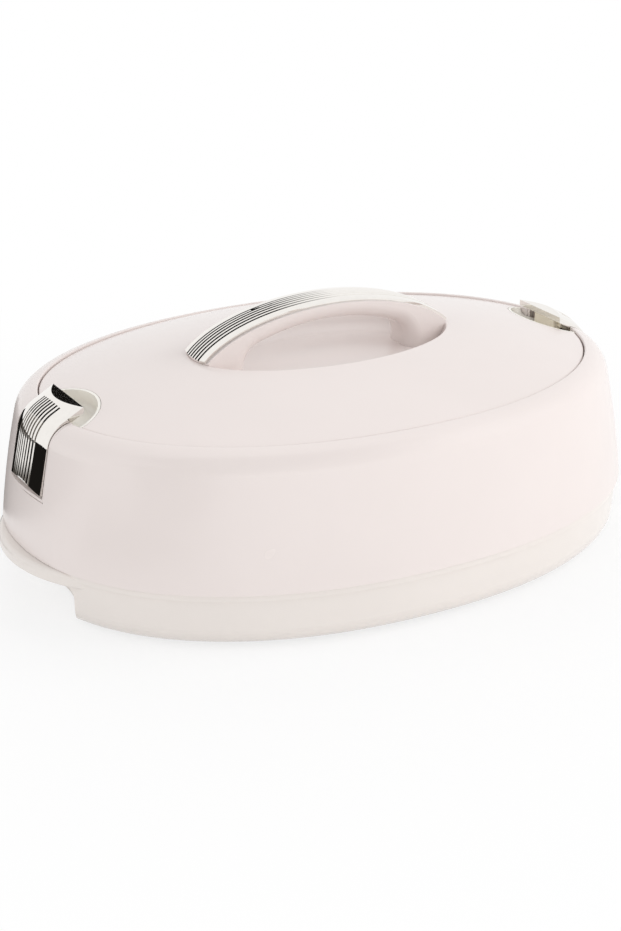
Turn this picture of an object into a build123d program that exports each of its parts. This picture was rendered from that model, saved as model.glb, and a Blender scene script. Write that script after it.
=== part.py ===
"""Insulated oval casserole for flat breads.

A double-walled oval body carries a steel bowl. A crowned lid lies flush in the
shoulder of the body and is held by two levers, one at each end of the long axis.

Millimetres. +Z is up, +X runs along the long axis through both levers, and the
origin is the middle of the floor that the feet stand on.
"""

import os
from math import acos, cos, degrees, pi, radians, sin, tan

from build123d import *

# ---------------------------------------------------------------- plan outline
body_length = 380.0  # over the foot of the outer shell
body_width = 281.0
oval_power = 2.19  # 2 would be an ellipse, more is squarer
oval_power_loss = 0.0035  # per millimetre that an oval is set in
oval_steps = 20

# ------------------------------------------------------------- walls and fits
plastic_wall = 2.5
steel_wall = 0.8
seat_gap = 0.3  # between pieces that seat in each other
pin_gap = 0.05  # radial, between a lever's core and its hinge pin
cut_over = 1.0  # how far a cut runs past a face

# ----------------------------------------------------------------------- feet
foot_radius = 8.0
foot_stand = 2.0  # height of the base above the floor
foot_recess = 1.2
foot_round = 0.8
foot_pitch_x = 230.0
foot_pitch_y = 150.0

# ----------------------------------------------------------------------- base
split_height = 34.1  # where the outer shell stands on the base
rim_band = 3.6
rim_inset = 0.9
base_inset_top = 1.6
base_inset_bottom = 3.4
base_round = 11.0
spigot_height = 8.0
spigot_wall = 2.0
ear_reach = 7.0  # past the foot of the shell
ear_half_width = 48.0
ear_arc_depth = 15.0  # of the ear's arc at its half width
ear_thickness = 7.8
ear_drop = 0.3  # below the foot of the shell
ear_round_top = 3.0
ear_round_bottom = 2.0
recess_depth = 26.0  # finger recess under an ear, behind the foot of the shell
recess_half_width = 50.0
recess_arc_depth = 16.0  # of the recess's arc at its half width
recess_round = 7.0

# ---------------------------------------------------------------- outer shell
mouth_height = 109.2  # top of the shoulder
belly_height = 68.0
belly_inset = 4.4
shoulder_inset = 9.3  # at the level of the shoulder's centre of rounding
shoulder_round = 15.5
shoulder_start = 11.0  # degrees of the rounding, from level
shoulder_end = 87.0
shoulder_steps = 5
mouth_inset = 22.6
mouth_edge_round = 0.8
lip_width = 2.0
lip_depth = 13.7

# --------------------------------------------------------- bowl and mouth ring
flange_height = 97.8  # top of the bowl's flange
flange_inset = 26.0
bowl_inset_top = 34.0
bowl_inset_bottom = 42.0
bowl_floor = 14.0  # underside
bowl_round = 18.0
ring_thickness = 4.8  # under the bowl's flange
ring_hook = 4.3  # reaches out under the shell's lip
ring_hook_height = 3.0

# ------------------------------------------------------------------------ lid
seam_gap = 0.6
lid_edge_height = 108.4
lid_edge_round = 1.4
lid_crown = 20.0  # rise from the edge to the middle
dome_half_turn = 20.0  # degrees of the crown's turn, more than the lid's length
dome_skirt = 60.0  # of the crown's form, under its top
skirt_height = 7.4
gasket_width = 4.5
gasket_inset = 27.5
pan_flange_height = 101.2  # underside
pan_inset = 36.5
pan_depth = 9.2
pan_round = 4.0

# ------------------------------------------------------ hollow under the handle
scoop_half_length = 81.5
scoop_half_width = 50.0
scoop_floor = 111.5
scoop_slope = 24.0  # degrees from upright
scoop_round = 12.0
scoop_edge_round = 0.8

# --------------------------------------------------------------------- handle
strip_half_length = 82.0
strip_width = 24.4
strip_crown = 1.0
strip_edge = 1.6  # thickness along the long edges
strip_groove_count = 6
strip_rib_pitch = 2.8
strip_groove = 1.1
arch_top = 149.5
arch_half_span = 88.0  # of the half ellipse that the strip follows
arch_rise = 38.0
arch_sink = 2.0  # of the grip's ends below the half ellipse
grip_width = 28.0
grip_round_top = 3.5
grip_round_under = 8.0
grip_opening_half = 54.0
grip_opening_top = 137.2
grip_opening_shoulder = 126.0
grip_opening_round = 14.0
handle_screw_x = 62.0
handle_screw_y = 6.0
screw_radius = 1.6
screw_head_radius = 3.4
screw_head_height = 2.0
screw_length = 9.0

# ---------------------------------------------------------------- latch levers
lever_half_width = 21.0
lever_foot_x = 184.6  # outer line of the lever's side edge, right-hand end
lever_foot_z = 70.0
lever_knee_x = 177.3
lever_knee_z = 104.8
lever_tip_x = 157.0
lever_tip_z = 116.2
lever_knee_round = 20.0
lever_crown_foot = 4.2
lever_crown_tip = 3.4
lever_depth = 3.0
lever_skin = 1.6
lever_groove_count = 8
lever_rib_pitch = 3.0
lever_groove = 1.2
groove_border = 8.0  # from the lever's cut tip
tip_solid = 9.0  # the lever is solid from here to its cut tip
pin_radius = 1.5
hinge_inset = 4.0  # from the lever's foot line
hinge_rise = 6.0  # above the lever's foot
foot_sweep = 7.2  # largest reach of the lever's foot from its pin
well_gap = 0.9  # under the sweep of the foot
knuckle_radius = 3.2
hook_half_width = 13.0
hook_depth = 5.0
toe_half_width = 10.0
toe_length = 4.5
toe_setback = 3.8  # from the lever's tip
toe_gap = 0.5  # over the catch

# -------------------------------------------------------- housings and catches
housing_gap = 0.5  # beside a lever
housing_wall = 1.5
channel_depth = 7.0  # from the lever's side edge to the channel's floor
well_back = 9.0  # from the pin
well_above = 8.0
pin_bite = 1.0  # into the side walls
cup_centre_x = 167.0
cup_half_length = 26.0
cup_half_width = 30.0
cup_floor = 103.7
cup_wall = 1.5
cup_round = 4.0

# ------------------------------------------------------------ worked-out values
lid_inset = mouth_inset + seam_gap
lid_top = lid_edge_height + lid_crown
lid_half_length = body_length / 2 - lid_inset
lid_half_width = body_width / 2 - lid_inset
dome_radius_x = (lid_half_length**2 + lid_crown**2) / (2 * lid_crown)
dome_radius_y = (lid_half_width**2 + lid_crown**2) / (2 * lid_crown)
skirt_bottom = lid_edge_height - skirt_height
scoop_rim = lid_top - scoop_half_length**2 / (2 * dome_radius_x)
screw_seat = scoop_floor - plastic_wall
strip_depth = strip_crown + strip_edge
hinge_x = lever_foot_x - hinge_inset
hinge_z = lever_foot_z + hinge_rise
well_bottom = hinge_z - foot_sweep - well_gap
ring_bottom = flange_height - steel_wall - ring_thickness
lip_bottom = mouth_height - lip_depth
base_floor = foot_stand + plastic_wall
above_all = arch_top + 20.0
latch_slope = (lever_tip_z - lever_knee_z) / (lever_knee_x - lever_tip_x)


# ------------------------------------------------------------------- outlines
def oval_points(inset):
    """Points round the oval, set in from the foot of the shell."""
    power = oval_power - oval_power_loss * inset
    points = []
    for step in range(oval_steps):
        turn = 2 * pi * step / oval_steps
        reach = (abs(cos(turn)) ** power + abs(sin(turn)) ** power) ** (-1 / power)
        x = (body_length / 2 - inset) * reach * cos(turn)
        y = (body_width / 2 - inset) * reach * sin(turn)
        points.append((x, y))
    return points


def oval(inset, height):
    """Level oval at a height."""
    with BuildSketch(Plane.XY.offset(height)) as section:
        with BuildLine():
            Spline(*oval_points(inset), periodic=True)
        make_face()
    return section.sketch


def oval_ring(outer_inset, inner_inset, height):
    """Level band between two ovals at a height."""
    with BuildSketch(Plane.XY.offset(height)) as section:
        with BuildLine():
            Spline(*oval_points(outer_inset), periodic=True)
        make_face()
        with BuildLine():
            Spline(*oval_points(inner_inset), periodic=True)
        make_face(mode=Mode.SUBTRACT)
    return section.sketch


def ellipse(half_x, half_y, height, centre_x=0.0):
    """Level ellipse at a height."""
    with BuildSketch(Plane.XY.offset(height)) as section:
        with Locations((centre_x, 0)):
            Ellipse(half_y, half_x, rotation=90)
    return section.sketch


def lowest_edges(part):
    """Edges of a form's lowest face."""
    return part.faces().sort_by(Axis.Z)[0].outer_wire().edges()


def highest_edges(part):
    """Edges of a form's highest face."""
    return part.faces().sort_by(Axis.Z)[-1].outer_wire().edges()


# ------------------------------------------------- forms that pieces are cut by
def shell_form(wall):
    """The body above the split, smaller all round by a wall."""
    shoulder = []
    reach = shoulder_round - wall
    for step in range(shoulder_steps + 1):
        share = step / shoulder_steps
        turn = radians(shoulder_start + (shoulder_end - shoulder_start) * share)
        inset = shoulder_inset + shoulder_round - reach * cos(turn)
        height = mouth_height - shoulder_round + reach * sin(turn)
        shoulder.append(oval(inset, height))
    with BuildPart() as form:
        loft([oval(wall, split_height), oval(belly_inset + wall, belly_height), shoulder[0]])
        loft(shoulder)
    return form.part


def base_form(wall):
    """The body below the split, smaller all round by a wall."""
    with BuildPart() as form:
        bottom = oval(base_inset_bottom + wall, foot_stand + wall)
        top = oval(base_inset_top + wall, split_height)
        loft([bottom, top])
        fillet(lowest_edges(form), base_round - wall)
    return form.part


def bowl_form(wall):
    """The bowl's outside, smaller all round by a wall."""
    with BuildPart() as form:
        bottom = oval(bowl_inset_bottom + wall, bowl_floor + wall)
        top = oval(bowl_inset_top + wall, flange_height)
        loft([bottom, top])
        fillet(lowest_edges(form), bowl_round - wall)
    return form.part


def dome_form(drop):
    """Everything close under the lid's crowned surface, lowered by a drop."""
    centre_z = lid_top - dome_radius_x
    start = Plane(
        origin=(0, 0, centre_z),
        x_dir=(0, 1, 0),
        z_dir=(cos(radians(dome_half_turn)), 0, sin(radians(dome_half_turn))),
    )
    with BuildPart() as form:
        with BuildSketch(start):
            with Locations((0, dome_radius_x - dome_radius_y)):
                Circle(dome_radius_y - drop)
            with Locations((0, dome_radius_x - dome_skirt / 2)):
                Rectangle(body_width, dome_skirt, mode=Mode.INTERSECT)
        revolve(axis=Axis((0, 0, centre_z), (0, 1, 0)), revolution_arc=2 * dome_half_turn)
    return form.part


def scoop_form(wall):
    """The hollow under the handle, larger all round by a wall."""
    slope = radians(scoop_slope)
    floor = scoop_floor - wall
    grow_low = wall / cos(slope) - (scoop_rim - floor) * tan(slope)
    grow_high = wall / cos(slope) + (above_all - scoop_rim) * tan(slope)
    with BuildPart() as form:
        low = ellipse(scoop_half_length + grow_low, scoop_half_width + grow_low, floor)
        high = ellipse(
            scoop_half_length + grow_high, scoop_half_width + grow_high, above_all
        )
        loft([low, high], ruled=True)
        fillet(lowest_edges(form), scoop_round + wall)
    return form.part


def cup_form(wall, floor):
    """The hollow under a lever's tip, smaller all round by a wall, right-hand end."""
    with BuildPart() as form:
        outline = ellipse(cup_half_length - wall, cup_half_width - wall, floor, cup_centre_x)
        extrude(outline, amount=above_all - floor)
        if wall > 0:
            fillet(lowest_edges(form), cup_round)
    return form.part


def both_ends(part):
    """A right-hand form together with its mirror image."""
    with BuildPart() as pair:
        add(part)
        mirror(part, about=Plane.YZ)
    return pair.part


# ------------------------------------------------------------------ latch lines
def latch_line(foot_extra=0.0, tip_extra=0.0):
    """Outer line of a lever's side edge, right-hand end, longer at its ends."""
    lean = (lever_foot_x - lever_knee_x) / (lever_knee_z - lever_foot_z)
    foot = (lever_foot_x + foot_extra * lean, lever_foot_z - foot_extra)
    tip = (lever_tip_x - tip_extra, lever_tip_z + tip_extra * latch_slope)
    with BuildLine(Plane.XZ) as line:
        FilletPolyline(foot, (lever_knee_x, lever_knee_z), tip, radius=lever_knee_round)
    return line.line


def across_start(line):
    """Section plane at a line's start, its y pointing out of the body."""
    return Plane(origin=line @ 0, x_dir=(0, -1, 0), z_dir=line % 0)


def across_end(line):
    """Section plane at a line's end, its y pointing out of the body."""
    return Plane(origin=line @ 1, x_dir=(0, -1, 0), z_dir=line % 1)


def channel_form(grow, back):
    """Long block along a lever's line, open outwards, with the hinge's well."""
    line = latch_line(tip_extra=tip_solid)
    half = lever_half_width + housing_gap + grow
    outside = 12.0
    with BuildPart() as form:
        with BuildSketch(across_start(line)):
            with Locations((0, (outside - back) / 2)):
                Rectangle(2 * half, outside + back)
        sweep(path=line)
        low = well_bottom - grow
        high = hinge_z + well_above + grow
        rear = hinge_x - well_back - grow
        front = lever_foot_x + outside
        with BuildSketch(Plane.XY.offset(low)):
            with Locations(((rear + front) / 2, 0)):
                Rectangle(front - rear, 2 * half)
        extrude(amount=high - low)
    return form.part


def crowned_section(plane, half, edge, crown, depth):
    """Section of a lever: straight sides, flat back and a crowned face."""
    with BuildSketch(plane) as section:
        with BuildLine():
            ThreePointArc((-half, edge), (0, crown), (half, edge))
            Polyline((half, edge), (half, -depth), (-half, -depth), (-half, edge))
        make_face()
    return section.sketch


os.makedirs("parts", exist_ok=True)

outer_form = shell_form(0.0)
window = both_ends(channel_form(housing_wall + seat_gap, channel_depth + housing_wall + seat_gap))

# ----------------------------------------------------------------------- feet
with BuildPart() as rubber_feet:
    with BuildSketch():
        with GridLocations(foot_pitch_x, foot_pitch_y, 2, 2):
            Circle(foot_radius)
    extrude(amount=foot_stand + foot_recess)
    fillet(rubber_feet.edges().group_by(Axis.Z)[0], foot_round)
rubber_feet.part.label = "rubber_feet"
export_step(rubber_feet.part, "parts/rubber_feet.step")

# ----------------------------------------------------------------------- base
ear_plan_radius = (ear_half_width**2 + ear_arc_depth**2) / (2 * ear_arc_depth)
recess_plan_radius = (recess_half_width**2 + recess_arc_depth**2) / (2 * recess_arc_depth)
ear_top = split_height - ear_drop
ear_bottom = ear_top - ear_thickness


def ear_disc():
    """Disc whose outer arc is an ear, right-hand end."""
    with BuildPart() as disc:
        with BuildSketch(Plane.XY.offset(ear_bottom)):
            with Locations((body_length / 2 + ear_reach - ear_plan_radius, 0)):
                Circle(ear_plan_radius)
        extrude(amount=ear_thickness)
        fillet(highest_edges(disc), ear_round_top)
        fillet(lowest_edges(disc), ear_round_bottom)
    return disc.part


def recess_post(wall):
    """Upright cylinder that cuts a finger recess, larger by a wall."""
    with BuildPart() as post:
        with BuildSketch(Plane.XY.offset(-cut_over)):
            with Locations((body_length / 2 - recess_depth + recess_plan_radius, 0)):
                Circle(recess_plan_radius + wall)
        extrude(amount=ear_bottom + wall + cut_over)
        fillet(highest_edges(post), recess_round + wall)
    return post.part


with BuildPart() as base_hollow:
    add(base_form(plastic_wall))
    add(both_ends(recess_post(plastic_wall)), mode=Mode.SUBTRACT)

with BuildPart() as base_shell:
    add(base_form(0.0))
    extrude(oval(rim_inset, split_height - rim_band), amount=rim_band)
    add(both_ends(ear_disc()))
    add(both_ends(recess_post(0.0)), mode=Mode.SUBTRACT)
    add(base_hollow.part, mode=Mode.SUBTRACT)
    extrude(oval(base_inset_top + plastic_wall, split_height), amount=-rim_band, mode=Mode.SUBTRACT)
    spigot_lean = spigot_height * belly_inset / (belly_height - split_height)
    spigot_inset = plastic_wall + seat_gap
    spigot_foot = oval(spigot_inset, split_height)
    spigot_top = oval(spigot_inset + spigot_lean, split_height + spigot_height)
    extrude(oval(spigot_inset, split_height - rim_band), amount=rim_band)
    loft([spigot_foot, spigot_top])
    bore_foot = oval(spigot_inset + spigot_wall, split_height - rim_band)
    bore_top = oval(spigot_inset + spigot_wall + spigot_lean, split_height + spigot_height)
    loft([bore_foot, bore_top], mode=Mode.SUBTRACT)
    with Locations((0, 0, foot_stand)):
        with GridLocations(foot_pitch_x, foot_pitch_y, 2, 2):
            Cylinder(
                foot_radius,
                foot_recess,
                align=(Align.CENTER, Align.CENTER, Align.MIN),
                mode=Mode.SUBTRACT,
            )
base_shell.part.label = "base_shell"
export_step(base_shell.part, "parts/base_shell.step")

# ---------------------------------------------------------------- outer shell
with BuildPart() as shell_hollow:
    lip_ring = oval_ring(mouth_inset - lip_width, mouth_inset + lip_width, lip_bottom)
    add(shell_form(plastic_wall))
    extrude(lip_ring, amount=lip_depth, mode=Mode.SUBTRACT)

with BuildPart() as outer_shell:
    add(outer_form)
    add(shell_hollow.part, mode=Mode.SUBTRACT)
    extrude(oval(mouth_inset, lip_bottom - cut_over), amount=2 * lip_depth, mode=Mode.SUBTRACT)
    fillet(outer_shell.edges().sort_by(Axis.Z)[-1], mouth_edge_round)
    add(window, mode=Mode.SUBTRACT)
outer_shell.part.label = "outer_shell"
export_step(outer_shell.part, "parts/outer_shell.step")

# --------------------------------------------------------- mouth ring and bowl
with BuildPart() as mouth_ring:
    ring_outer = mouth_inset + seat_gap
    ring_inner = bowl_inset_top - seat_gap
    extrude(oval_ring(ring_outer, ring_inner, ring_bottom), amount=ring_thickness)
    extrude(oval_ring(ring_outer - ring_hook, ring_inner, ring_bottom), amount=ring_hook_height)
    add(window, mode=Mode.SUBTRACT)
mouth_ring.part.label = "mouth_ring"
export_step(mouth_ring.part, "parts/mouth_ring.step")

with BuildPart() as inner_bowl:
    add(bowl_form(0.0))
    extrude(oval(flange_inset, flange_height - steel_wall), amount=steel_wall)
    add(bowl_form(steel_wall), mode=Mode.SUBTRACT)
inner_bowl.part.label = "inner_bowl"
export_step(inner_bowl.part, "parts/inner_bowl.step")

# ------------------------------------------------------------ body insulation
foam_inset_floor = base_inset_bottom + base_round
foam_inset_low = base_inset_bottom + plastic_wall + 2.5
foam_inset_mid = plastic_wall + spigot_wall + 2.3
foam_inset_belly = belly_inset + plastic_wall + 1.5
foam_inset_top = belly_inset + plastic_wall + 5.5

with BuildPart() as body_foam:
    loft(
        [
            oval(foam_inset_floor, base_floor + seat_gap),
            oval(foam_inset_low, base_floor + base_round),
            oval(foam_inset_mid, split_height + spigot_height + 4.0),
            oval(foam_inset_belly, belly_height + 2.0),
            oval(foam_inset_top, ring_bottom - seat_gap),
        ],
        ruled=True,
    )
    add(bowl_form(-seat_gap), mode=Mode.SUBTRACT)
    add(both_ends(recess_post(plastic_wall + seat_gap)), mode=Mode.SUBTRACT)
    add(window, mode=Mode.SUBTRACT)
body_foam.part.label = "body_foam"
export_step(body_foam.part, "parts/body_foam.step")

# ------------------------------------------------------------------ lid cover
lid_dome = dome_form(0.0)
catch_clearance = both_ends(cup_form(-seat_gap, cup_floor - cup_wall))


def screw_posts(radius, bottom, height):
    """Upright cylinders at the places of the handle's screws."""
    with BuildPart() as posts:
        with BuildSketch(Plane.XY.offset(bottom)):
            with GridLocations(2 * handle_screw_x, 2 * handle_screw_y, 2, 2):
                Circle(radius)
        extrude(amount=height)
    return posts.part


with BuildPart() as lid_hollow:
    extrude(oval(lid_inset + plastic_wall, skirt_bottom), amount=above_all - skirt_bottom)
    add(dome_form(plastic_wall), mode=Mode.INTERSECT)
    add(scoop_form(plastic_wall), mode=Mode.SUBTRACT)

with BuildPart() as lid_cover:
    extrude(oval(lid_inset, skirt_bottom), amount=above_all - skirt_bottom)
    add(lid_dome, mode=Mode.INTERSECT)
    fillet(highest_edges(lid_cover), lid_edge_round)
    scoop = scoop_form(0.0)
    add(scoop, mode=Mode.SUBTRACT)
    dome_face = lid_cover.faces().sort_by(Axis.Z)[-1]
    fillet(dome_face.inner_wires()[0].edges(), scoop_edge_round)
    add(lid_hollow.part, mode=Mode.SUBTRACT)
    add(catch_clearance, mode=Mode.SUBTRACT)
    add(screw_posts(screw_radius + seat_gap, screw_seat - cut_over, 2 * plastic_wall), mode=Mode.SUBTRACT)
lid_cover.part.label = "lid_cover"
export_step(lid_cover.part, "parts/lid_cover.step")

# -------------------------------------------------------------- latch catches
with BuildPart() as latch_catch_right:
    extrude(oval(lid_inset, cup_floor - cup_wall), amount=above_all - cup_floor)
    add(lid_dome, mode=Mode.INTERSECT)
    add(cup_form(0.0, cup_floor - cup_wall), mode=Mode.INTERSECT)
    add(cup_form(cup_wall, cup_floor), mode=Mode.SUBTRACT)
latch_catch_right.part.label = "latch_catch_right"
export_step(latch_catch_right.part, "parts/latch_catch_right.step")

with BuildPart() as latch_catch_left:
    mirror(latch_catch_right.part, about=Plane.YZ)
latch_catch_left.part.label = "latch_catch_left"
export_step(latch_catch_left.part, "parts/latch_catch_left.step")

# -------------------------------------------------- lid pan, foam and gasket
pan_bottom = pan_flange_height + steel_wall - pan_depth


def pan_form(wall):
    """The plug of the lid's pan, smaller all round by a wall."""
    with BuildPart() as form:
        top = pan_flange_height + steel_wall
        extrude(oval(pan_inset + wall, pan_bottom + wall), amount=top - pan_bottom - wall)
        fillet(lowest_edges(form), pan_round - wall)
    return form.part


with BuildPart() as lid_pan:
    add(pan_form(0.0))
    pan_edge = lid_inset + plastic_wall + seat_gap
    extrude(oval(pan_edge, pan_flange_height), amount=steel_wall)
    add(pan_form(steel_wall), mode=Mode.SUBTRACT)
lid_pan.part.label = "lid_pan"
export_step(lid_pan.part, "parts/lid_pan.step")

with BuildPart() as lid_gasket:
    gasket_bottom = flange_height + seat_gap
    gasket_height = pan_flange_height - gasket_bottom
    extrude(oval_ring(gasket_inset, gasket_inset + gasket_width, gasket_bottom), amount=gasket_height)
lid_gasket.part.label = "lid_gasket"
export_step(lid_gasket.part, "parts/lid_gasket.step")

with BuildPart() as lid_foam:
    foam_bottom = pan_flange_height + steel_wall + seat_gap
    extrude(oval(lid_inset + plastic_wall + seat_gap, foam_bottom), amount=above_all - foam_bottom)
    add(dome_form(plastic_wall + seat_gap), mode=Mode.INTERSECT)
    add(scoop_form(plastic_wall + seat_gap), mode=Mode.SUBTRACT)
    extrude(oval(pan_inset + steel_wall + seat_gap, foam_bottom), amount=-seat_gap)
    add(pan_form(steel_wall + seat_gap))
    add(both_ends(cup_form(-seat_gap, cup_floor - cup_wall - seat_gap)), mode=Mode.SUBTRACT)
    head_room = screw_head_height + seat_gap
    add(
        screw_posts(screw_head_radius + seat_gap, screw_seat - head_room, head_room + cut_over),
        mode=Mode.SUBTRACT,
    )
lid_foam.part.label = "lid_foam"
export_step(lid_foam.part, "parts/lid_foam.step")

# --------------------------------------------------------------------- handle
def strip_line():
    """Middle line of the strip's top, from its +X end to its -X end."""
    low_turn = degrees(acos(strip_half_length / arch_half_span))
    with BuildLine(Plane.XZ) as line:
        EllipticalCenterArc(
            (0, arch_top - arch_rise),
            arch_half_span,
            arch_rise,
            start_angle=low_turn,
            arc_size=180.0 - 2 * low_turn,
        )
    return line.line


handle_line = strip_line()
strip_start = across_start(handle_line)

with BuildPart() as handle_trim:
    half = strip_width / 2
    with BuildSketch(strip_start):
        with BuildLine():
            ThreePointArc((-half, -strip_crown), (0, 0), (half, -strip_crown))
            Polyline(
                (half, -strip_crown),
                (half, -strip_depth),
                (-half, -strip_depth),
                (-half, -strip_crown),
            )
        make_face()
        for index in range(strip_groove_count):
            place = (index - (strip_groove_count - 1) / 2) * strip_rib_pitch
            face = -strip_crown * (place / half) ** 2
            with Locations((place, face)):
                Rectangle(strip_groove, strip_groove, rotation=45, mode=Mode.SUBTRACT)
    sweep(path=handle_line)
    add(scoop, mode=Mode.INTERSECT)
handle_trim.part.label = "handle_trim"
export_step(handle_trim.part, "parts/handle_trim.step")

with BuildPart() as strip_space:
    with BuildSketch(strip_start):
        with Locations((0, strip_depth)):
            Rectangle(2 * grip_width, 4 * strip_depth)
    sweep(path=handle_line)

with BuildPart() as handle_screws:
    add(screw_posts(screw_head_radius, screw_seat - screw_head_height, screw_head_height))
    add(screw_posts(screw_radius, screw_seat, screw_length))
handle_screws.part.label = "handle_screws"
export_step(handle_screws.part, "parts/handle_screws.step")


def grip_opening():
    """Arched space for the fingers under the grip, seen from the side."""
    half = grip_opening_half
    floor = scoop_floor - 5.0
    with BuildSketch(Plane.XZ) as section:
        with BuildLine():
            ThreePointArc(
                (-half, grip_opening_shoulder),
                (0, grip_opening_top),
                (half, grip_opening_shoulder),
            )
            Polyline(
                (half, grip_opening_shoulder),
                (half, floor),
                (-half, floor),
                (-half, grip_opening_shoulder),
            )
        make_face()
        fillet(section.vertices().group_by(Axis.Y)[-1], grip_opening_round)
    return section.sketch


def edges_within(part, half):
    """Edges of a form's upright side faces that lie between -X and +X limits."""
    found = []
    for edge in part.faces().filter_by(Axis.Y).edges():
        box = edge.bounding_box()
        if max(-box.min.X, box.max.X) < half + seat_gap:
            found.append(edge)
    return found


with BuildPart() as handle_grip:
    with BuildSketch(Plane.XZ):
        with Locations((0, arch_top - arch_rise)):
            Ellipse(arch_half_span, arch_rise)
        with Locations((0, arch_top - (arch_rise + arch_sink) / 2)):
            Rectangle(2 * strip_half_length, arch_rise + arch_sink, mode=Mode.INTERSECT)
    extrude(amount=grip_width / 2, both=True)
    arch_sides = handle_grip.faces().sort_by(Axis.Z)[-1].edges().group_by(Axis.Y)
    fillet(arch_sides[0] + arch_sides[-1], grip_round_top)
    extrude(grip_opening(), amount=grip_width, both=True, mode=Mode.SUBTRACT)
    fillet(edges_within(handle_grip, grip_opening_half), grip_round_under)
    add(strip_space.part, mode=Mode.SUBTRACT)
    add(scoop, mode=Mode.INTERSECT)
    add(handle_screws.part, mode=Mode.SUBTRACT)
handle_grip.part.label = "handle_grip"
export_step(handle_grip.part, "parts/handle_grip.step")

# ---------------------------------------------------------------- hinge pins
hinge_plane = Plane(origin=(hinge_x, 0, hinge_z), x_dir=(1, 0, 0), z_dir=(0, -1, 0))

with BuildPart() as latch_pin_right:
    with BuildSketch(hinge_plane):
        Circle(pin_radius)
    extrude(amount=lever_half_width + housing_gap + pin_bite, both=True)
latch_pin_right.part.label = "latch_pin_right"
export_step(latch_pin_right.part, "parts/latch_pin_right.step")

# ------------------------------------------------------------ latch housings
with BuildPart() as latch_housing_right:
    add(channel_form(housing_wall, channel_depth + housing_wall))
    add(channel_form(0.0, channel_depth), mode=Mode.SUBTRACT)
    add(outer_form, mode=Mode.INTERSECT)
    extrude(oval(mouth_inset, belly_height), amount=belly_height, mode=Mode.SUBTRACT)
    add(latch_pin_right.part, mode=Mode.SUBTRACT)
latch_housing_right.part.label = "latch_housing_right"
export_step(latch_housing_right.part, "parts/latch_housing_right.step")

# -------------------------------------------------------------- latch levers

def lever_shape(line, shrink, depth, mode):
    """Crowned bar along a lever's line, smaller all round by a shrink."""
    sections = []
    for plane, crown in [
        (across_start(line), lever_crown_foot),
        (across_end(line), lever_crown_tip),
    ]:
        half = lever_half_width - shrink
        sections.append(crowned_section(plane, half, -shrink, crown - shrink, depth))
    sweep(sections, path=line, multisection=True, mode=mode)


lever_line = latch_line(tip_extra=tip_solid)
groove_end = Plane(
    origin=(lever_tip_x + groove_border, 0, lever_tip_z - groove_border * latch_slope),
    x_dir=(0, 1, 0),
    z_dir=lever_line % 1,
)


def groove_section(plane, place, crown):
    """Square on its corner that cuts one groove in a crowned face."""
    height = crown * (1 - (place / lever_half_width) ** 2)
    with BuildSketch(plane) as section:
        with Locations((place, height)):
            Rectangle(lever_groove, lever_groove, rotation=45)
    return section.sketch


with BuildPart() as lever_grooves:
    for index in range(lever_groove_count):
        place = (index - (lever_groove_count - 1) / 2) * lever_rib_pitch
        at_foot = groove_section(across_start(lever_line), place, lever_crown_foot)
        at_tip = groove_section(across_end(lever_line), place, lever_crown_tip)
        sweep([at_foot, at_tip], path=lever_line, multisection=True)
    split(bisect_by=groove_end, keep=Keep.BOTTOM)

with BuildPart() as latch_lever_right:
    lever_shape(lever_line, 0.0, lever_depth, Mode.ADD)
    hollow_line = latch_line(foot_extra=-lever_skin, tip_extra=-tip_solid)
    lever_shape(hollow_line, lever_skin, 2 * lever_depth, Mode.SUBTRACT)
    split(bisect_by=Plane.XY.offset(lever_tip_z), keep=Keep.BOTTOM)
    split(bisect_by=Plane.YZ.offset(lever_tip_x), keep=Keep.TOP)
    add(lever_grooves.part, mode=Mode.SUBTRACT)
    with BuildSketch(hinge_plane):
        with Locations((foot_sweep, -foot_sweep)):
            Rectangle(2 * foot_sweep, 2 * foot_sweep)
        Circle(foot_sweep, mode=Mode.SUBTRACT)
    extrude(amount=2 * lever_half_width, both=True, mode=Mode.SUBTRACT)
    with BuildSketch(hinge_plane):
        Circle(pin_radius + seat_gap)
    extrude(amount=2 * lever_half_width, both=True, mode=Mode.SUBTRACT)
latch_lever_right.part.label = "latch_lever_right"
export_step(latch_lever_right.part, "parts/latch_lever_right.step")

with BuildPart() as latch_lever_left:
    mirror(latch_lever_right.part, about=Plane.YZ)
latch_lever_left.part.label = "latch_lever_left"
export_step(latch_lever_left.part, "parts/latch_lever_left.step")

# ---------------------------------------------------------------- lever cores
with BuildPart() as latch_hook_right:
    core_line = latch_line(foot_extra=-lever_skin, tip_extra=-tip_solid)
    with BuildSketch(across_start(core_line)):
        with Locations((0, -hook_depth / 2)):
            Rectangle(2 * hook_half_width, hook_depth)
    sweep(path=core_line)
    with BuildSketch(hinge_plane):
        Circle(knuckle_radius)
    extrude(amount=hook_half_width, both=True)
    toe_x = lever_tip_x + toe_setback
    toe_bottom = cup_floor + toe_gap
    with BuildSketch(Plane.XZ):
        Polygon(
            (toe_x, toe_bottom),
            (toe_x + toe_length, toe_bottom),
            (toe_x + 2 * toe_length, toe_bottom + toe_length),
            (toe_x, toe_bottom + 2 * toe_length),
            align=None,
        )
    extrude(amount=toe_half_width, both=True)
    with BuildSketch(hinge_plane):
        Circle(pin_radius + pin_gap)
    extrude(amount=2 * hook_half_width, both=True, mode=Mode.SUBTRACT)
    add(latch_lever_right.part, mode=Mode.SUBTRACT)
latch_hook_right.part.label = "latch_hook_right"
export_step(latch_hook_right.part, "parts/latch_hook_right.step")

with BuildPart() as latch_hook_left:
    mirror(latch_hook_right.part, about=Plane.YZ)
latch_hook_left.part.label = "latch_hook_left"
export_step(latch_hook_left.part, "parts/latch_hook_left.step")

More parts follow.
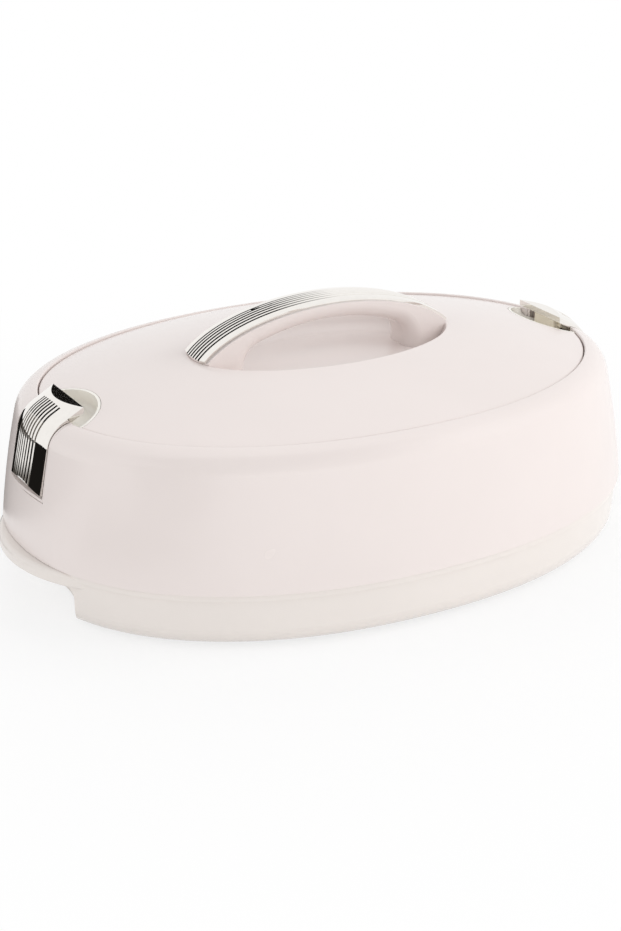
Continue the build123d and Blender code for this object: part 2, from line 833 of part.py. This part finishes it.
with BuildPart() as latch_pin_left:
    mirror(latch_pin_right.part, about=Plane.YZ)
latch_pin_left.part.label = "latch_pin_left"
export_step(latch_pin_left.part, "parts/latch_pin_left.step")

with BuildPart() as latch_housing_left:
    mirror(latch_housing_right.part, about=Plane.YZ)
latch_housing_left.part.label = "latch_housing_left"
export_step(latch_housing_left.part, "parts/latch_housing_left.step")
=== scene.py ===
"""Looks of the insulated oval casserole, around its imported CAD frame. Metres, +Z up."""

import math

import bpy
from mathutils import Matrix, Vector

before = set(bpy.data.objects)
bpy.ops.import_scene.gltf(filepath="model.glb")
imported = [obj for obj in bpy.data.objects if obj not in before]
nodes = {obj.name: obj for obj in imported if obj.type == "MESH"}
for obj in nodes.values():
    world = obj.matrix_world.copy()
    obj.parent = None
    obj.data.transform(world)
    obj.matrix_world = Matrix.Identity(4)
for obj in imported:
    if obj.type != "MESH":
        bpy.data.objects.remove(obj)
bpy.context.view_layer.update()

# ----------------------------------------------------------------- named values
tint_low, tint_high = 0.3, 0.7  # noise values between which a tint changes
relief_depth = 0.0002
coat_roughness = 0.12
drift_scale = 14.0  # slow colour drift of the plastics
metal_shade = 0.96  # darkest hairline, as a share of the metal's colour
sharpest, dullest = 0.8, 1.25  # of a plastic's roughness
metal_sharpest, metal_dullest = 0.7, 1.4

floor_reach = 6.0
floor_colour = (0.95, 0.95, 0.95, 1)
floor_near, floor_far = 0.2, 0.5  # distances over which the floor turns plain white
floor_near_share = 0.75
world_light = 0.62
full_white = (1, 1, 1, 1)

card_hue = (1.1, 1.0, 0.9)  # warm black, times a card's tone
fade_end = 0.501  # of a card's width, just past its edge


# ------------------------------------------------------------------ node helpers
def new_material(name):
    """Empty node material with its output."""
    material = bpy.data.materials.new(name)
    material.use_nodes = True
    tree = material.node_tree
    tree.nodes.clear()
    output = tree.nodes.new("ShaderNodeOutputMaterial")
    return material, tree, output


def add_node(tree, kind, **sockets):
    """Node with the values of some of its inputs."""
    node = tree.nodes.new(kind)
    for name, value in sockets.items():
        node.inputs[name.replace("_", " ")].default_value = value
    return node


def object_place(tree):
    """Object coordinates."""
    return tree.nodes.new("ShaderNodeTexCoord").outputs["Object"]


def tint(tree, source, shade, colour, shader):
    """Base colour that changes from a shade to a colour over a value."""
    node = tree.nodes.new("ShaderNodeValToRGB")
    stops = zip(node.color_ramp.elements, ((tint_low, shade), (tint_high, colour)))
    for element, (position, value) in stops:
        element.position = position
        element.color = (*value, 1.0)
    tree.links.new(source, node.inputs["Fac"])
    tree.links.new(node.outputs["Color"], shader.inputs["Base Color"])


def gloss(tree, source, low, high, shader):
    """Roughness that changes from low to high over a value."""
    node = add_node(tree, "ShaderNodeMapRange", To_Min=low, To_Max=high)
    tree.links.new(source, node.inputs["Value"])
    tree.links.new(node.outputs["Result"], shader.inputs["Roughness"])


def relief(tree, source, strength, shader):
    """Fine relief from a value."""
    node = add_node(tree, "ShaderNodeBump", Strength=strength, Distance=relief_depth)
    tree.links.new(source, node.inputs["Height"])
    tree.links.new(node.outputs["Normal"], shader.inputs["Normal"])


def mix(tree, share, first, second, output):
    """Surface that changes from the first shader to the second by a share."""
    node = tree.nodes.new("ShaderNodeMixShader")
    tree.links.new(share, node.inputs["Fac"])
    tree.links.new(first, node.inputs[1])
    tree.links.new(second, node.inputs[2])
    tree.links.new(node.outputs["Shader"], output.inputs["Surface"])


def combine(tree, operation, first, second):
    """Result of a math node over two values."""
    node = tree.nodes.new("ShaderNodeMath")
    node.operation = operation
    tree.links.new(first, node.inputs[0])
    tree.links.new(second, node.inputs[1])
    return node.outputs["Value"]


# --------------------------------------------------------------------- materials
def moulded_plastic(name, colour, shade, roughness, coat=0.0, grain=900.0, bump=0.02):
    """Moulded plastic: faint colour drift, fine flow marks and a soft skin."""
    material, tree, output = new_material(name)
    shader = add_node(
        tree,
        "ShaderNodeBsdfPrincipled",
        IOR=1.5,
        Coat_Weight=coat,
        Coat_Roughness=coat_roughness,
    )
    place = object_place(tree)
    drift = add_node(tree, "ShaderNodeTexNoise", Scale=drift_scale, Detail=3.0, Roughness=0.5)
    fine = add_node(tree, "ShaderNodeTexNoise", Scale=grain, Detail=2.0, Roughness=0.6)
    tree.links.new(place, drift.inputs["Vector"])
    tree.links.new(place, fine.inputs["Vector"])
    tint(tree, drift.outputs["Fac"], shade, colour, shader)
    gloss(tree, drift.outputs["Fac"], roughness * sharpest, roughness * dullest, shader)
    relief(tree, fine.outputs["Fac"], bump, shader)
    tree.links.new(shader.outputs["BSDF"], output.inputs["Surface"])
    return material


def polished_metal(name, colour, roughness, bump, grain=(1.0, 1.0, 1.0)):
    """Metal with fine hairlines drawn out by grain."""
    material, tree, output = new_material(name)
    shader = add_node(tree, "ShaderNodeBsdfPrincipled", Metallic=1.0)
    stretch = add_node(tree, "ShaderNodeMapping", Scale=grain)
    tree.links.new(object_place(tree), stretch.inputs["Vector"])
    hair = add_node(tree, "ShaderNodeTexNoise", Scale=300.0, Detail=3.0, Roughness=0.6)
    tree.links.new(stretch.outputs["Vector"], hair.inputs["Vector"])
    shade = tuple(metal_shade * value for value in colour)
    tint(tree, hair.outputs["Fac"], shade, colour, shader)
    low, high = roughness * metal_sharpest, roughness * metal_dullest
    gloss(tree, hair.outputs["Fac"], low, high, shader)
    relief(tree, hair.outputs["Fac"], bump, shader)
    tree.links.new(shader.outputs["BSDF"], output.inputs["Surface"])
    return material


white = moulded_plastic(
    "white_shell", (0.84, 0.765, 0.74), (0.825, 0.75, 0.725), 0.24, coat=0.15
)
base_white = moulded_plastic(
    "base_white", (0.84, 0.785, 0.745), (0.825, 0.77, 0.73), 0.22, coat=0.2
)
ivory = moulded_plastic("ivory_insert", (0.95, 0.925, 0.87), (0.94, 0.91, 0.85), 0.25)
hook = moulded_plastic("hook_ivory", (0.87, 0.81, 0.69), (0.85, 0.78, 0.65), 0.3)
foam = moulded_plastic(
    "foam_core", (0.80, 0.74, 0.52), (0.70, 0.63, 0.42), 0.8, grain=400.0, bump=0.5
)
seal = moulded_plastic(
    "seal_rubber", (0.62, 0.61, 0.58), (0.58, 0.57, 0.54), 0.55, grain=600.0, bump=0.1
)
feet = moulded_plastic(
    "foot_rubber", (0.035, 0.035, 0.035), (0.025, 0.025, 0.025), 0.6, bump=0.2
)
chrome = polished_metal("chrome_trim", (0.90, 0.87, 0.83), 0.03, 0.005)
steel = polished_metal("bowl_steel", (0.62, 0.62, 0.61), 0.22, 0.06, grain=(1.0, 1.0, 14.0))
pin = polished_metal("pin_steel", (0.5, 0.5, 0.5), 0.3, 0.05, grain=(1.0, 0.1, 1.0))

finishes = {
    "base_shell": base_white,
    "outer_shell": white,
    "mouth_ring": white,
    "inner_bowl": steel,
    "body_foam": foam,
    "rubber_feet": feet,
    "lid_cover": white,
    "lid_pan": steel,
    "lid_foam": foam,
    "lid_gasket": seal,
    "handle_grip": white,
    "handle_trim": chrome,
    "handle_screws": pin,
}
for end in ("left", "right"):
    finishes["latch_housing_" + end] = white
    finishes["latch_catch_" + end] = ivory
    finishes["latch_hook_" + end] = hook
    finishes["latch_lever_" + end] = chrome
    finishes["latch_pin_" + end] = pin

for name, finish in finishes.items():
    mesh = nodes[name].data
    mesh.materials.clear()
    mesh.materials.append(finish)

# ------------------------------------------------------------------------ camera
# fitted to the photograph
focal_pixels = 1924.9
long_side_pixels = 931
sensor = 36.0
azimuth = math.radians(-29.41)
elevation = math.radians(22.42)
distance = 1.1630
slide_right = -0.00488
slide_up = 0.03978

back = Vector(
    (
        math.sin(azimuth) * math.cos(elevation),
        -math.cos(azimuth) * math.cos(elevation),
        math.sin(elevation),
    )
)
right = (-back).cross(Vector((0, 0, 1))).normalized()
up = right.cross(-back).normalized()
spot = right * slide_right + up * slide_up + back * distance
camera_data = bpy.data.cameras.new("camera")
camera_data.sensor_width = sensor
camera_data.lens = focal_pixels * sensor / long_side_pixels
camera = bpy.data.objects.new("camera", camera_data)
camera.matrix_world = Matrix(
    (
        (right.x, up.x, back.x, spot.x),
        (right.y, up.y, back.y, spot.y),
        (right.z, up.z, back.z, spot.z),
        (0, 0, 0, 1),
    )
)
bpy.context.scene.collection.objects.link(camera)
bpy.context.scene.camera = camera
bpy.context.scene.view_settings.view_transform = "Standard"

# ------------------------------------------------------------------------- lamps
lamp_aim = Vector((0.0, 0.0, 0.06))


def lamp(name, spot, size, power):
    """Square soft light on the part, which chrome and coats don't mirror."""
    data = bpy.data.lights.new(name, "AREA")
    data.size = size
    data.energy = power
    item = bpy.data.objects.new(name, data)
    item.location = spot
    item.visible_glossy = False
    item.rotation_euler = (lamp_aim - Vector(spot)).to_track_quat("-Z", "Y").to_euler()
    bpy.context.scene.collection.objects.link(item)


lamp("key_right", (1.6, -1.0, 1.3), 1.6, 18.5)
lamp("key_back", (0.5, 1.3, 1.7), 1.4, 6.0)
lamp("fill_left", (-1.6, 0.4, 0.8), 1.2, 5.0)
lamp("fill_low", (-0.3, -1.8, 0.7), 1.2, 6.0)


# --------------------------------------------------------------- world and floor
def shown_directly(tree):
    """1 for rays from the camera or from a glossy surface, 0 for the others."""
    rays = tree.nodes.new("ShaderNodeLightPath")
    return combine(
        tree, "MAXIMUM", rays.outputs["Is Camera Ray"], rays.outputs["Is Glossy Ray"]
    )


def rectangle(name, half_width, half_height, material):
    """Flat rectangle about its own origin, linked into the scene."""
    mesh = bpy.data.meshes.new(name)
    corners = [
        (-half_width, -half_height, 0),
        (half_width, -half_height, 0),
        (half_width, half_height, 0),
        (-half_width, half_height, 0),
    ]
    mesh.from_pydata(corners, [], [(0, 1, 2, 3)])
    mesh.materials.append(material)
    item = bpy.data.objects.new(name, mesh)
    bpy.context.scene.collection.objects.link(item)
    return item


world = bpy.data.worlds.new("studio")
bpy.context.scene.world = world
world.use_nodes = True
tree = world.node_tree
tree.nodes.clear()
world_output = tree.nodes.new("ShaderNodeOutputWorld")
lit = add_node(tree, "ShaderNodeBackground", Color=full_white, Strength=world_light)
seen = add_node(tree, "ShaderNodeBackground", Color=full_white, Strength=1.0)
mix(
    tree,
    shown_directly(tree),
    lit.outputs["Background"],
    seen.outputs["Background"],
    world_output,
)

floor_material, tree, output = new_material("floor_white")
matt = add_node(tree, "ShaderNodeBsdfDiffuse", Color=floor_colour)
bright = add_node(tree, "ShaderNodeEmission", Color=full_white, Strength=1.0)
from_middle = tree.nodes.new("ShaderNodeVectorMath")
from_middle.operation = "LENGTH"
tree.links.new(object_place(tree), from_middle.inputs[0])
plain = add_node(
    tree,
    "ShaderNodeMapRange",
    From_Min=floor_near,
    From_Max=floor_far,
    To_Min=floor_near_share,
    To_Max=1.0,
)
plain.interpolation_type = "SMOOTHSTEP"
tree.links.new(from_middle.outputs["Value"], plain.inputs["Value"])
share = combine(tree, "MULTIPLY", shown_directly(tree), plain.outputs["Result"])
mix(tree, share, matt.outputs["BSDF"], bright.outputs["Emission"], output)
floor = rectangle("floor", floor_reach, floor_reach, floor_material)


# ---------------------------------------- dark studio cards that the chrome mirrors
def card(name, middle, facing, width, height, left_fade=1.0, right_fade=1.0, tone=0.01):
    """Dark panel that only glossy rays see. It starts to clear at a share of its
    half width, left_fade on its own +X side and right_fade on the other."""
    material, tree, output = new_material(name)
    colour = (*(tone * value for value in card_hue), 1)
    velvet = add_node(tree, "ShaderNodeBsdfDiffuse", Color=colour)
    clear = tree.nodes.new("ShaderNodeBsdfTransparent")
    along = tree.nodes.new("ShaderNodeSeparateXYZ")
    tree.links.new(object_place(tree), along.inputs[0])
    fades = []
    for side, begin in ((1, left_fade), (-1, right_fade)):
        fade = add_node(
            tree,
            "ShaderNodeMapRange",
            From_Min=side * begin * width / 2,
            From_Max=side * fade_end * width,
        )
        tree.links.new(along.outputs["X"], fade.inputs["Value"])
        fades.append(fade.outputs["Result"])
    either = combine(tree, "MAXIMUM", *fades)
    mix(tree, either, velvet.outputs["BSDF"], clear.outputs["BSDF"], output)
    panel = rectangle(name, width / 2, height / 2, material)
    panel.location = middle
    way = Vector(facing) - Vector(middle)
    panel.rotation_euler = way.to_track_quat("Z", "Y").to_euler()
    panel.visible_camera = False
    panel.visible_diffuse = False
    panel.visible_shadow = False


lever_tip = (-0.157, 0.0, 0.116)
card("card_back", (1.237, 3.486, 1.497), lever_tip, 0.27, 0.14)
card("card_floor", (-0.80, 0.57, 0.002), (-0.80, 0.57, 1.0), 1.38, 0.88)
card("card_left", (-0.62, -0.25, 0.002), (-0.62, -0.25, 1.0), 0.60, 0.50, 0.6, 0.6, 0.12)
card("card_front", (-0.28, -0.90, 1.23), (-0.08, 0.0, 0.13), 2.50, 1.85, 0.75, 0.45)
card("card_side", (-0.96, -0.66, 0.37), (-0.165, 0.0, 0.1), 0.76, 0.78, 0.8, 0.8, 0.15)
